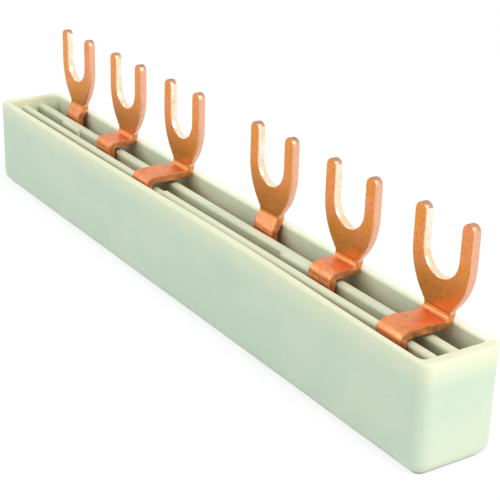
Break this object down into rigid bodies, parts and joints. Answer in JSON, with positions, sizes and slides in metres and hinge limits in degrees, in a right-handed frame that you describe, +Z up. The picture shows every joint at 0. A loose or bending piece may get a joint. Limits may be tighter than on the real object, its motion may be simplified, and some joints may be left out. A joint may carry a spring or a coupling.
{
  "type": "comb busbar",
  "caption": "Insulating trough holding flat copper phase bars on edge, with bent tabs that end in a row of upright U-shaped fork terminals.",
  "frame": {"origin": "bottom centre of the trough, on the plane of its flat base", "axes": "+X along the trough, +Y towards the rear wall over which the forks stand, +Z up through the forks"},
  "size_m": [0.117, 0.012, 0.0278],
  "materials": {
    "case_plastic": "satin moulded, pale grey-green",
    "copper": "bare stamped copper, slightly tarnished"
  },
  "bodies": {
    "root": {"housing": "case_plastic", "front_bar": "copper", "middle_bar": "copper", "rear_bar": "copper"}
  },
  "joints": []
}
